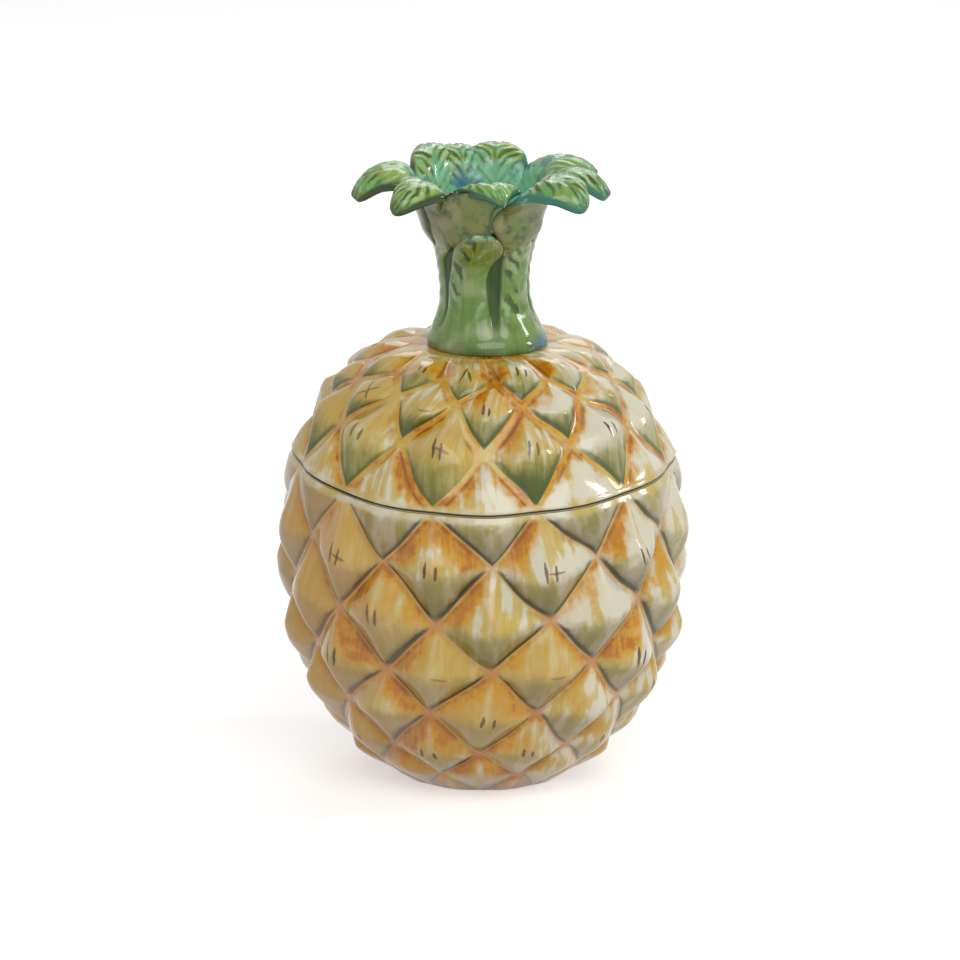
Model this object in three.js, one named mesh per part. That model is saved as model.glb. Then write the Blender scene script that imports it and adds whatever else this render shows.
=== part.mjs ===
// A glazed ceramic pineapple box: a scaled pot, and a scaled lid that carries a crown of leaves.
// Millimetres, +Z up. The origin is the centre of the foot, and the front of the box faces -Y.
// Every round piece is described by an angle from the front, which grows towards +X.
import * as THREE from 'three';

// Overall sizes
const widestRadius = 89.5; // over the peaks of the scales
const seamHeight = 137.5; // from the foot to the line where the lid lifts off
const lidRise = 57; // from that line to the flat seat under the crown
const crownShift = 1; // the crown stands this far to the right of the pot's axis

// Clay of the pot and the lid
const wall = 5; // behind the valleys between the scales
const floorThickness = 7;
const seatMargin = 1.2; // of the flat place on the lid round the foot of the crown
const ventRadius = 5; // the hole under the crown that let air out of the stem in the kiln

// Ring under the lid that drops into the mouth of the pot
const rimWall = 7; // clay of the pot's mouth behind the valleys
const ringClearance = 1.5;
const ringThickness = 4.5;
const ringDepth = 8;
const ringChamfer = 1.5;
const ledgeHeight = 4; // clay of the lid above the ring

// Scales: twelve round the fruit, one row turned half a scale from the next
const scalesAround = 12;
const latticeTurn = 1.5; // degrees from the front to the nearest column of scales
const meshesPerHalfScale = 2;

// Rows of scales from the crown to the foot, one for each half scale: share of the rise of the lid or the
// pot and share of the widest radius at the peaks, depth of the corners between them in millimetres, and how
// far the corners lie below the peaks as a share of a row
const lidRows = [
  [0.99, 0.375, 0.4, 0],
  [0.926, 0.531, 1.5, 0.2],
  [0.711, 0.73, 3.5, -0.2],
  [0.482, 0.838, 5.5, 0.12],
  [0, 0.961, 5, 0],
];
const potRows = [
  [1, 0.961, 5, 0],
  [0.815, 1, 7, 0],
  [0.647, 0.992, 7, 0.06],
  [0.473, 0.952, 7, 0],
  [0.327, 0.88, 6.5, 0],
  [0.182, 0.749, 6, 0],
  [0.091, 0.626, 4.5, 0],
  [0, 0.402, 1, 0],
];

// Stem of the crown: its height above the seat, and its radius over the sheaths at shares of that height
const stemHeight = 52.5;
const stemRows = [
  [26.3, 0],
  [25.8, 0.048],
  [23.4, 0.133],
  [20.6, 0.248],
  [19.4, 0.381],
  [20.3, 0.59],
  [22.2, 0.781],
  [24.6, 0.914],
  [26.8, 1],
];
const stemSegments = 40;
const stemBoreRadius = 10;
const stemFloor = 5.5; // clay between the bore and the funnel
const funnelRadius = 20;
const funnelDepth = 21;
const funnelFloorRadius = 9;

// Short sheath leaves that lie round the stem, let into it by their thickness
const sheathThickness = 3;
const sheathFoot = 6.5; // above the seat
const sheathHead = 6; // below the rim of the stem
const sheathGap = 0.3;
const sheaths = {
  sheath_leaf_front: -26,
  sheath_leaf_right: 47,
  sheath_leaf_back_right: 119,
  sheath_leaf_back_left: 190,
  sheath_leaf_left: 262,
};
const sheathHalfAngle = 34; // degrees

// Crown leaves: angle from the front, half the angle that the blade fills, reach and height of the tip,
// and reach and height of the crest, all four measured from the outer edge of the stem's rim
const leafThickness = 5.5;
const leafGap = 0.7; // between two roots
const leafDroop = 1.5; // of a blade's edges below its middle
const leaves = {
  crown_leaf_left: [-82, 20, 30.5, 14, 9, 24],
  crown_leaf_front_left: [-42, 20, 30, 15, 9, 24],
  crown_leaf_front: [12, 20, 12, 17, 2, 24],
  crown_leaf_front_right: [53, 14.5, 30, 14, 10, 23.5],
  crown_leaf_right: [82, 14.5, 30.5, 13.5, 11, 24],
  crown_leaf_back_right: [112, 15, 29, 18, 11, 27],
  crown_leaf_back: [155, 21, 23, 21, 10, 27],
  crown_leaf_back_left: [197, 20, 23, 21, 10, 27],
  crown_leaf_left_back: [238, 20, 25, 21, 9, 28],
};

const columns = scalesAround * 2;
const radians = THREE.MathUtils.degToRad;
const seatHeight = seamHeight + lidRise;
const seatRadius = stemRows[0][0] + crownShift + seatMargin;
const stemRimRadius = stemRows.at(-1)[0];
const stemBoreDepth = stemHeight - funnelDepth - stemFloor;
const [, seamShare, seamDepth] = potRows[0];
const mouthRadius = seamShare * widestRadius - seamDepth - rimWall;

const colours = {
  scales: new THREE.MeshStandardMaterial({ color: 0xd8c078, roughness: 0.2, metalness: 0 }),
  liner: new THREE.MeshStandardMaterial({ color: 0xe4dcc4, roughness: 0.3, metalness: 0 }),
  stem: new THREE.MeshStandardMaterial({ color: 0x7f9f60, roughness: 0.2, metalness: 0 }),
  leaf: new THREE.MeshStandardMaterial({ color: 0x8fbf70, roughness: 0.2, metalness: 0 }),
};

// A point of a round piece from its radius, its angle from the front and its height
function place(radius, angle, height) {
  return [radius * Math.sin(angle), -radius * Math.cos(angle), height];
}

// A closed body from a grid of rings that each hold the same number of points. The rings run so that the
// outside is on the left of the way along them. They end in two poles if those are given, in flat strips
// across the first and the last ring for 'strips', and otherwise the last ring joins the first.
// splits(i, k) says whether the quad after ring i and point k is cut from its far corner to its near one.
function bodyFromRings(rings, ends, splits = () => true) {
  const count = rings[0].length;
  const points = rings.flat();
  const faces = [];
  const at = (i, k) => (i % rings.length) * count + (k % count);
  const lastRing = rings.length - 1;
  for (let i = 0; i < (ends ? lastRing : rings.length); i += 1) {
    for (let k = 0; k < count; k += 1) {
      const [a, b, c, d] = [at(i, k), at(i, k + 1), at(i + 1, k + 1), at(i + 1, k)];
      faces.push(...(splits(i, k) ? [a, b, c, a, c, d] : [a, b, d, b, c, d]));
    }
  }
  if (ends === 'strips') {
    for (let k = 0; k < count / 2 - 1; k += 1) {
      const [a, b, c, d] = [k, k + 1, count - 2 - k, count - 1 - k];
      faces.push(at(0, a), at(0, c), at(0, b), at(0, a), at(0, d), at(0, c));
      faces.push(at(lastRing, a), at(lastRing, b), at(lastRing, c));
      faces.push(at(lastRing, a), at(lastRing, c), at(lastRing, d));
    }
  } else if (ends) {
    points.push(...ends);
    const firstPole = rings.length * count;
    for (let k = 0; k < count; k += 1) {
      faces.push(firstPole, at(0, k + 1), at(0, k));
      faces.push(at(lastRing, k), at(lastRing, k + 1), firstPole + 1);
    }
  }
  const geometry = new THREE.BufferGeometry();
  geometry.setAttribute('position', new THREE.Float32BufferAttribute(points.flat(), 3));
  geometry.setIndex(faces);
  geometry.computeVertexNormals();
  return geometry;
}

// Height of a scale's pyramid, from 0 in the valleys to 1 at the peak, for a column and a row of the lattice.
// Above row 0 the valleys run straight up to the crown.
function pyramid(column, row) {
  const fromMiddle = (x) => Math.abs(x - Math.floor(x) - 0.5);
  if (row < 0) return 1 - 2 * fromMiddle(column / 2);
  return 1 - 2 * Math.max(fromMiddle((column + row) / 2), fromMiddle((column - row) / 2));
}

// The rows of the lid or the pot as curves over the row number: places of the peaks and of the corners
function lattice(rows, lowest, rise, firstRow) {
  const last = rows.length - 1;
  const peaks = new THREE.SplineCurve(rows.map(([up, out]) => (
    new THREE.Vector2(out * widestRadius, lowest + up * rise))));
  const corners = new THREE.SplineCurve(rows.map(([, , depth, shift], i) => {
    const place = (i + shift) / last;
    const along = peaks.getTangent(Math.min(Math.max(place, 0), 1));
    const level = i === 0 || i === last || firstRow + i === seamRow;
    const inwards = level ? new THREE.Vector2(-1, 0) : new THREE.Vector2(along.y, -along.x);
    return peaks.getPoint(place).addScaledVector(inwards, depth);
  }));
  return {
    last,
    at(step) {
      return { peak: peaks.getPoint(step / last), corner: corners.getPoint(step / last), row: firstRow + step };
    },
  };
}

const seamRow = 3;
const lidLattice = lattice(lidRows, seamHeight, lidRise, -1);
const potLattice = lattice(potRows, 0, seamHeight, seamRow);
const ringPoints = columns * meshesPerHalfScale;

// One ring of the scaled outside
function scaledRing({ peak, corner, row }) {
  return Array.from({ length: ringPoints }, (_, k) => {
    const column = k / meshesPerHalfScale;
    const angle = radians(latticeTurn + (column * 360) / columns);
    const point = corner.clone().lerp(peak, pyramid(column, row));
    return place(point.x, angle, point.y);
  });
}

// One plain ring with its points at the same angles
function plainRing(radius, height, count = ringPoints, turn = latticeTurn) {
  return Array.from({ length: count }, (_, k) => place(radius, radians(turn + (k * 360) / count), height));
}

// Rings of the scaled outside, from the lowest row to the highest
function scaledRings(curve) {
  const steps = curve.last * meshesPerHalfScale;
  return Array.from({ length: steps + 1 }, (_, i) => scaledRing(curve.at(curve.last - i / meshesPerHalfScale)));
}

// Whether a quad of the scaled outside is cut the way that its valley runs
function valleySplits(curve) {
  const firstRow = curve.at(0).row;
  return (i, k) => {
    const row = firstRow + curve.last - Math.floor(i / meshesPerHalfScale) - 1;
    const column = Math.floor(k / meshesPerHalfScale);
    return (row + column) % 2 !== 0;
  };
}

// The inside of the wall behind a row: the bottom of the valleys moved inwards by the wall's thickness
function insideOf(curve, step) {
  const near = 0.5;
  const before = curve.at(Math.max(step - near, 0)).corner;
  const after = curve.at(Math.min(step + near, curve.last)).corner;
  const here = curve.at(step).corner;
  const along = after.clone().sub(before).normalize();
  return [here.x + along.y * wall, here.y - along.x * wall];
}

function potGeometry() {
  const outside = scaledRings(potLattice);
  const inside = [];
  for (let step = 1; step < potLattice.last; step += 1) {
    const [radius, height] = insideOf(potLattice, step);
    inside.push(plainRing(radius, Math.max(height, floorThickness + (potLattice.last - step) / 2)));
  }
  const floorRing = plainRing(insideOf(potLattice, potLattice.last - 1)[0] * 0.7, floorThickness);
  const rings = [...outside, plainRing(mouthRadius, seamHeight), ...inside, floorRing];
  return bodyFromRings(rings, [[0, 0, 0], [0, 0, floorThickness]], (i, k) => (
    i >= outside.length - 1 || valleySplits(potLattice)(i, k)));
}

function lidGeometry() {
  const outside = scaledRings(lidLattice);
  const ledgeRadius = mouthRadius - ringClearance - ringThickness;
  const inside = [];
  for (let step = 1; step < lidLattice.last; step += 1) {
    inside.push(plainRing(...insideOf(lidLattice, step)));
  }
  const ceiling = insideOf(lidLattice, 1)[1] + 0.6 * wall;
  const rings = [
    ...outside,
    plainRing(seatRadius, seatHeight),
    plainRing(ventRadius, seatHeight),
    plainRing(ventRadius, ceiling),
    ...inside,
    plainRing(ledgeRadius, seamHeight + ledgeHeight),
    plainRing(ledgeRadius, seamHeight),
  ];
  return bodyFromRings(rings, null, (i, k) => i >= outside.length - 1 || valleySplits(lidLattice)(i, k));
}

// The ring that keeps the lid from sliding off
function locatingRingGeometry() {
  const outer = mouthRadius - ringClearance;
  const inner = outer - ringThickness;
  const low = seamHeight - ringDepth;
  return bodyFromRings([
    plainRing(inner, low),
    plainRing(outer - ringChamfer, low),
    plainRing(outer, low + ringChamfer),
    plainRing(outer, seamHeight),
    plainRing(inner, seamHeight),
  ], null);
}

const stemCurve = new THREE.SplineCurve(stemRows.map(([radius, share]) => (
  new THREE.Vector2(radius, share * stemHeight))));

// Radius of the stem over its sheaths at a height above the seat
function stemRadius(up) {
  let low = 0;
  let high = 1;
  for (let halving = 0; halving < 30; halving += 1) {
    const middle = (low + high) / 2;
    if (stemCurve.getPoint(middle).y < up) low = middle;
    else high = middle;
  }
  return stemCurve.getPoint(low).x;
}

// Heights of the rings on the stem where the sheaths lie
const sheathSteps = 8;
const sheathTop = stemHeight - sheathHead;
const sheathLevels = Array.from({ length: sheathSteps + 1 }, (_, i) => (
  THREE.MathUtils.lerp(sheathFoot, sheathTop, i / sheathSteps)));
const letIn = sheathThickness + sheathGap;

function stemGeometry() {
  const ring = (radius, up) => plainRing(radius, up, stemSegments, 0);
  const step = 1.5; // height over which the stem narrows to take the sheaths
  const outline = [[stemBoreRadius, stemBoreDepth], [stemBoreRadius, 0], [stemRows[0][0], 0]];
  outline.push([stemRadius(2.5), 2.5], [stemRadius(sheathFoot - step), sheathFoot - step]);
  sheathLevels.forEach((up) => outline.push([stemRadius(up) - letIn, up]));
  outline.push([stemRadius(sheathLevels.at(-1) + step), sheathLevels.at(-1) + step]);
  outline.push([stemRimRadius, stemHeight], [funnelRadius, stemHeight]);
  outline.push([(funnelRadius + funnelFloorRadius) / 2 - 1, stemHeight - 0.6 * funnelDepth]);
  outline.push([funnelFloorRadius, stemHeight - 0.9 * funnelDepth]);
  return bodyFromRings(
    outline.map(([radius, up]) => ring(radius, up)),
    [[0, 0, stemBoreDepth], [0, 0, stemHeight - funnelDepth]],
  );
}

// A blade from a function that gives the ring of points at a share of the way along it
function bladeGeometry(ringAt, steps) {
  return bodyFromRings(Array.from({ length: steps + 1 }, (_, i) => ringAt(i / steps)), 'strips');
}

// Places across a blade, from one edge to the other over its face and back under it
const across = [-1, -0.6, -0.2, 0.2, 0.6, 1];

// One short sheath leaf: a curved plate that follows the stem and ends in a rounded tip
function sheathGeometry(azimuth) {
  const inset = sheathGap;
  return bladeGeometry((along) => {
    const up = THREE.MathUtils.lerp(sheathFoot + inset, sheathTop - inset, along);
    const half = sheathHalfAngle * Math.sqrt(1 - 0.97 * along ** 4);
    const inner = stemRadius(up) - sheathThickness;
    const point = (share, radius) => place(radius, radians(azimuth + half * share), up);
    const face = across.map((share) => (
      point(share, inner + sheathThickness * (0.45 + 0.55 * (1 - share ** 2)))));
    const back = [...across].reverse().map((share) => point(share, inner));
    return [...face, ...back];
  }, sheathSteps);
}

// One crown leaf: it rises from the rim of the stem, arches over its crest and droops to its tip
function leafGeometry([azimuth, halfAngle, tipReach, tipHeight, crestReach, crestHeight]) {
  const rootRadius = (stemRimRadius + funnelRadius) / 2;
  const tipRadius = stemRimRadius + tipReach;
  const crestRadius = stemRimRadius + crestReach;
  const rootGap = THREE.MathUtils.radToDeg(leafGap / 2 / funnelRadius);
  const spine = new THREE.SplineCurve([
    new THREE.Vector2(rootRadius, 0),
    new THREE.Vector2(rootRadius + 0.12 * (crestRadius - rootRadius), 0.42 * crestHeight),
    new THREE.Vector2(rootRadius + 0.45 * (crestRadius - rootRadius), 0.82 * crestHeight),
    new THREE.Vector2(crestRadius, crestHeight - leafThickness / 2),
    new THREE.Vector2((crestRadius + tipRadius) / 2, crestHeight - leafThickness / 2 - 1),
    new THREE.Vector2(tipRadius - 2, tipHeight + leafThickness / 2),
  ]);
  return bladeGeometry((along) => {
    const middle = spine.getPoint(along);
    const way = along === 0 ? new THREE.Vector2(0, 1) : spine.getTangent(along);
    const half = (halfAngle - rootGap) * Math.sqrt(1 - 0.93 * along ** 5);
    const thickness = leafThickness * (1 - 0.45 * along ** 3);
    const point = (share, under) => {
      const off = under + leafDroop * along * share ** 2;
      return place(middle.x + way.y * off, radians(azimuth + half * share), middle.y - way.x * off);
    };
    const round = (share) => 0.35 + 0.65 * (1 - share ** 2);
    const back = across.map((share) => point(share, (thickness / 2) * round(share)));
    const face = [...across].reverse().map((share) => point(share, (-thickness / 2) * round(share)));
    return [...back, ...face];
  }, 9);
}

function piece(name, geometry, material) {
  const mesh = new THREE.Mesh(geometry, material.clone());
  mesh.name = name;
  return mesh;
}

const crown = new THREE.Group();
crown.position.set(crownShift, 0, seatHeight);
crown.add(piece('crown_stem', stemGeometry(), colours.stem));
Object.entries(sheaths).forEach(([name, azimuth]) => {
  crown.add(piece(name, sheathGeometry(azimuth), colours.stem));
});
const leafWreath = new THREE.Group();
leafWreath.position.set(0, 0, stemHeight);
Object.entries(leaves).forEach(([name, sizes]) => {
  leafWreath.add(piece(name, leafGeometry(sizes), colours.leaf));
});
crown.add(leafWreath);

const box = new THREE.Group();
box.add(piece('pot', potGeometry(), colours.scales));
box.add(piece('lid_dome', lidGeometry(), colours.scales));
box.add(piece('lid_locating_ring', locatingRingGeometry(), colours.liner));
box.add(crown);

export default box;
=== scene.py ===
"""A hand-painted glazed ceramic pineapple box: the looks of its pot, its lid and its crown of leaves.

Tables of shapes are in millimetres and degrees, and meshes are in metres. Every round piece is described by
an angle from the front (-Y), which grows towards +X, by a radius and by a height.
"""

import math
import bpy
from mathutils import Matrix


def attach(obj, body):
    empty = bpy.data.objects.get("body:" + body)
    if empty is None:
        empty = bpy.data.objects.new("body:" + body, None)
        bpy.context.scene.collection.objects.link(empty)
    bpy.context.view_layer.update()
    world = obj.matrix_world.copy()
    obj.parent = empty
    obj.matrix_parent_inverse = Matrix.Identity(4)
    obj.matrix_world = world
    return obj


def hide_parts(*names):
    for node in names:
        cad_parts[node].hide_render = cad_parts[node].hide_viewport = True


bl_info = {
    "name": "Pineapple lidded box",
    "version": (1, 0, 0),
    "blender": (4, 5, 0),
    "location": "View3D > Sidebar > Pineapple box",
    "description": "Builds a glazed ceramic pineapple box: a scaled pot, a scaled lid and a crown of leaves",
    "category": "Add Mesh",
}

import bpy
import numpy as np

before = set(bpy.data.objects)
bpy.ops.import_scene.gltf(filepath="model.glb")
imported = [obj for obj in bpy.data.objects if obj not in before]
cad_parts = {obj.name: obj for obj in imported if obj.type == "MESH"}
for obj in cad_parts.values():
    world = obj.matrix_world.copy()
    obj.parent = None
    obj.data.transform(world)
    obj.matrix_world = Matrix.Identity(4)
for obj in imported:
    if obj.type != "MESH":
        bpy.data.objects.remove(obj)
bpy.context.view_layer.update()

MM = 0.001

# Sizes that the tables below were drawn for
DRAWN_WIDEST = 89.5
DRAWN_SEAM = 137.5
DRAWN_RISE = 57.0

# The scaled skin from the crown (row -1) to the foot (row 10): radius and height of the corners where four
# scales meet, then radius and height of the peaks of the scales
SKIN = np.array([
    [30.5, 193.2, 31.0, 193.3],
    [50.2, 187.4, 47.5, 191.4],
    [60.0, 178.8, 65.3, 178.6],
    [71.5, 160.1, 75.2, 165.2],
    [84.0, 137.5, 86.2, 137.5],
    [83.0, 113.0, 91.0, 112.0],
    [82.4, 87.4, 90.4, 88.5],
    [78.8, 65.0, 86.8, 64.6],
    [72.6, 44.5, 80.2, 44.6],
    [61.0, 24.5, 67.0, 25.0],
    [51.0, 11.5, 56.0, 12.5],
    [35.0, 0.0, 36.0, 0.0],
])
FIRST_ROW, SEAM_ROW, FOOT_ROW = -1, 3, 10
# How the hand-set lattice strays from an even one, for the same rows: degrees that a row is turned, degrees
# that its columns spread from the front, and millimetres that it climbs at the sides
STRAY = np.array([
    [2.0, -1.0, 0.0],
    [4.7, -4.5, 1.0],
    [1.2, -3.0, 5.0],
    [-0.6, 2.6, 6.0],
    [-0.7, 1.0, 5.5],
    [0.9, 3.5, 5.0],
    [1.2, 6.0, 4.0],
    [0.8, 6.0, 3.0],
    [-1.5, 7.5, 3.0],
    [-3.0, 8.5, 2.0],
    [-3.0, 9.0, 1.0],
    [-3.0, 9.0, 0.0],
])
COLUMNS = 24
COLUMN_STEPS = 20
LATTICE_TURN = 1.5
ROW_HEIGHT = 24.0
# Height of each row of scales along the skin, in millimetres
ROW_STEPS = [14, 16, 18, 22, 26, 25, 25, 23, 22, 22, 20, 18]
# Rounding of the ridges of a scale on each side, as a share of a scale
UPRIGHT_RIDGE, LEVEL_RIDGE = 0.10, 0.22

# Flat margin of the scales in the valleys, as a share of a scale, for the rows from 0
MARGINS = np.array([0.20, 0.17, 0.13, 0.06, 0.055, 0.055, 0.055, 0.05, 0.05, 0.05, 0.05])

# Seeds of the random draws: shapes of the scales, waves along the rows and across them, paint and marks
SHAPE_SEED, TURN_SEED, CLIMB_SEED, PAINT_SEED, MARK_SEED = 11, 3, 4, 5, 6

# Turns of the rounding of a rim, from the wall to the flat
ROUNDING = (0, 22, 45, 68, 90)
# How far from the seam the paint takes the first ring of a rounding to be, in rows, and how many rings after
# the skin the painted glaze covers
ROUNDING_ROW = 0.04
GLAZED_OVER = 3
# The ring under the lid: its play in the mouth, its width, its depth and the rounding of its edges
RING_PLAY, RING_WIDTH, RING_DEPTH, RING_ROUNDING = 1.5, 4.5, 8.0, 1.3

# How the scales in sight are painted, by row and column of the scale. First the mark: P a pair of strokes,
# C a pair with a cross stroke, F a faint cross stroke, X two crossed strokes, A two strokes that meet at
# the top, O none. Then six strengths from 0 to 3: ochre at the upper left and at the upper right, ground
# from milky to straw, grey-green of the lower half, and dark line at the lower left and at the lower right
PAINTING = {
    0: {-5: "O222211", -3: "P222321", -1: "A231211", 1: "P311322", 3: "F311112", 5: "O201112"},
    1: {-6: "O112211", -4: "X112221", -2: "F011332", 0: "P321223", 2: "O300331", 4: "O300112", 6: "O000113"},
    2: {-5: "O103322", -3: "P011221", -1: "C202210", 1: "P201333", 3: "P100231", 5: "P000111"},
    3: {-6: "O112211", -4: "O031211", -2: "O230222", 0: "O230231", 2: "O110231", 4: "O200130"},
    4: {-5: "O112121", -3: "C202112", -1: "P331223", 1: "C301233", 3: "P200231", 5: "O101122"},
    5: {-4: "O113112", -2: "P322123", 0: "O201202", 2: "O200221", 4: "O101220"},
    6: {-5: "O113101", -3: "P132112", -1: "F202113", 1: "F123211", 3: "P301211", 5: "O302111"},
    7: {-4: "O112101", -2: "O132112", 0: "P233101", 2: "O111211", 4: "P101111"},
    8: {-3: "P212101", -1: "P321102", 1: "P212101", 3: "P111111"},
    9: {-2: "O222101", 0: "O332101", 2: "O111111"},
}
# Out of sight, chance paints the scales. A draw below the first of two numbers makes the mark P, and one
# below the second makes it C. Each strength is how many of its own three numbers its draw is above
PAIR_ODDS, CROSS_ODDS = 0.5, 0.62
STRENGTH_ODDS = np.array([
    [0.15, 0.4, 0.7], [0.2, 0.5, 0.8], [0.2, 0.55, 0.85], [0.1, 0.45, 0.85], [0.1, 0.35, 0.65],
    [0.1, 0.35, 0.65],
])

# Stem of the crown: radius, and height above the seat. The crown leans: its shift to the right at the seat,
# and what that loses for each millimetre of height
STEM = np.array([
    [26.4, 0.0], [25.9, 2.5], [23.6, 7.0], [20.9, 13.0], [19.6, 20.0],
    [19.9, 31.0], [21.4, 41.0], [23.4, 48.0], [25.2, 52.5],
])
SEAT_DROP = 1.5
LEAN = (1.1, 0.033)
GROOVE_DEPTH = 1.6
FUNNEL = [(21.0, 52.5), (18.5, 47.0), (14.0, 39.0), (9.0, 33.5), (4.0, 31.8)]
BORE_RADIUS, BORE_DEPTH = 10.0, 26.0

# Outlines of the sheath leaves: height above the seat, and the angles of the left and the right edge
LEANING_SHEATH = np.array([
    [2, -62, 10], [8, -66, 9], [18, -64, 5.5], [25, -62, 3.5], [31, -56, 3.5], [37, -48, 10], [43, -39, 22.5],
    [49, -27, 19], [53, -10, 4],
])
UPRIGHT_SHEATH = np.array([
    [2, 18, 76], [8, 13, 80], [18, 17, 78], [26.5, 20, 76], [34, 21, 76], [40, 23, 78], [44.5, 29, 75],
    [47, 40, 67], [48, 50, 58],
])
# Each sheath leaf: its outline, its turn, whether it is mirrored, and how far its tip stands out
SHEATHS = {
    "sheath_leaf_front": (LEANING_SHEATH, 0, False, 3.0),
    "sheath_leaf_right": (UPRIGHT_SHEATH, 0, False, 0.0),
    "sheath_leaf_back_right": (LEANING_SHEATH, 145, True, 0.0),
    "sheath_leaf_back_left": (UPRIGHT_SHEATH, 143, False, 0.0),
    "sheath_leaf_left": (LEANING_SHEATH, -72, False, 0.0),
}

# Points round and along the stem, a sheath leaf and a long leaf
STEM_POINTS = (240, 100)
SHEATH_POINTS = (44, 64)
LEAF_POINTS = (48, 90)

# Slanting folds along a long leaf: how many, and how far they slant from the midrib to the edge
BARBS, BARB_SLANT = 12, 2.6

# Long leaves of the crown at nine stations from the point of the base on the stem, over the crest, to the
# tip: first the angle of the middle, then half the width in millimetres. Then come radius and height of the
# crest and of the tip, the roll, which lifts the edge at the greater angle, and how far the base stands out
LEAVES = {
    "crown_leaf_left": ((-86, -86, -86, -84, -82, -82, -81, -81, -82),
                        (3, 9, 10.5, 11.5, 12.5, 13, 12.5, 10.5, 6.5), (38, 79), (56.8, 65.3), -0.2, 1.2),
    "crown_leaf_front_left": ((-58, -59, -60, -59, -57, -50, -44, -42, -43),
                              (3, 9, 10.5, 10.5, 10.5, 12.5, 12.5, 10.5, 6),
                              (37, 77.5), (57, 67), -0.12, -0.3),
    "crown_leaf_front": ((-13, -14, -16, -20, -17, -1, 7, 11, 13.5),
                         (3, 9, 10.5, 12.5, 13.5, 13.5, 13.5, 8.5, 3), (29.5, 77), (40, 69.5), 0.0, 0.6),
    "crown_leaf_front_right": ((24, 32, 42, 39, 43, 48, 51, 52, 51),
                               (0.5, 5, 13, 15, 14.5, 13, 13, 12, 7), (39, 78), (57.8, 66.8), 0.22, 0.9),
    "crown_leaf_right": ((92, 91, 90, 88, 86, 85, 84, 84, 84),
                         (0.5, 5, 8, 10, 11, 11, 11, 9.5, 6), (40, 77), (55.3, 65.2), 0.1, -2.6),
    "crown_leaf_back_right": ((124, 123, 122, 120, 119, 117, 114, 112, 111),
                              (0.5, 5, 9, 12, 14.5, 14.5, 13.5, 11, 6.5), (38, 78.5), (53.5, 69), 0.0, 0.0),
    "crown_leaf_back": ((166, 166, 166, 167, 168, 169, 170, 170, 170),
                        (0.5, 5, 9, 12, 13.5, 14, 14, 12, 7), (36, 79.5), (47, 75), 0.0, 0.3),
    "crown_leaf_back_left": ((197,) * 9,
                             (0.5, 5, 9, 11, 11.5, 11.5, 11, 9.5, 6), (36, 79), (46, 74.5), 0.0, 0.0),
    "crown_leaf_left_back": ((240, 239, 238, 234, 228, 222, 217, 214, 213),
                             (0.5, 5, 9, 12.5, 14.5, 14, 12.5, 10.5, 6.5), (37, 80), (48, 75.5), 0.0, 0.3),
}

# The photograph's camera
CAMERA_DISTANCE = 4.0
CAMERA_ELEVATION = 15.0
CAMERA_LENS = 342.9
CAMERA_TARGET = (-0.0011, 0.0, 0.131)

# The glaze: its roughness, its index of refraction, and how deep its waves are in metres
GLOSS, GLAZE_IOR, GLAZE_DEPTH = 0.12, 1.5, 0.0006

# The light: each lamp's place, width, height and power, the point that all of them face, what the floor
# glows with to the camera, how much of the white surroundings reaches the object, and how far the floor
# reaches and lies below the foot
LIT_POINT = (0.0, 0.0, 0.13)
LAMPS = {
    "Front softbox": ((0.3, -1.7, 1.5), 1.8, 1.4, 21.0),
    "Window": ((1.5, 0.05, 0.7), 0.2, 0.45, 4.5),
    "Back softbox": ((0.2, 1.3, 1.2), 1.0, 0.7, 5.0),
}
FLOOR_GLOW = 0.52
WORLD_LIGHT = 0.36
FLOOR_REACH, FLOOR_DROP = 40.0, 0.0002


def linear(red, green, blue):
    """A colour written as display values up to 255, as the linear values that a shader takes."""
    shares = np.array([red, green, blue]) / 255
    return tuple(np.where(shares <= 0.04045, shares / 12.92, ((shares + 0.055) / 1.055) ** 2.4).tolist())


def size_property(name, text, value):
    """A length that a user may change, in metres."""
    return bpy.props.FloatProperty(
        name=name, description=text, default=value, min=0.0, unit="LENGTH", precision=4)


def colour_property(name, text, *shown):
    """A glaze colour that a user may change."""
    return bpy.props.FloatVectorProperty(
        name=name, description=text, default=linear(*shown), subtype="COLOR", size=3, min=0.0, max=1.0)


class PineappleSizes(bpy.types.PropertyGroup):
    """Sizes of the box."""

    widest: size_property("Widest radius", "Radius over the peaks of the scales", DRAWN_WIDEST * MM)
    seam: size_property("Seam height", "Height of the line where the lid lifts off", DRAWN_SEAM * MM)
    rise: size_property("Lid rise", "From that line to the seat of the crown", DRAWN_RISE * MM)
    wall: size_property("Wall", "Clay behind the valleys between the scales", 0.005)
    mouth: size_property("Mouth radius", "Radius of the pot's mouth", 0.074)
    gap: size_property("Seam gap", "Dark gap that is left between the lid and the pot", 0.0009)
    edge: size_property("Glazed edge", "Rounding of the rims under the glaze", 0.0010)
    crown_shift: size_property("Crown shift", "How far the crown stands to the right of the axis", 0.001)
    leaf_thickness: size_property("Leaf thickness", "Thickness of a crown leaf at its middle", 0.0055)
    sheath_thickness: size_property("Sheath thickness", "How far a sheath leaf stands out", 0.0022)


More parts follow.
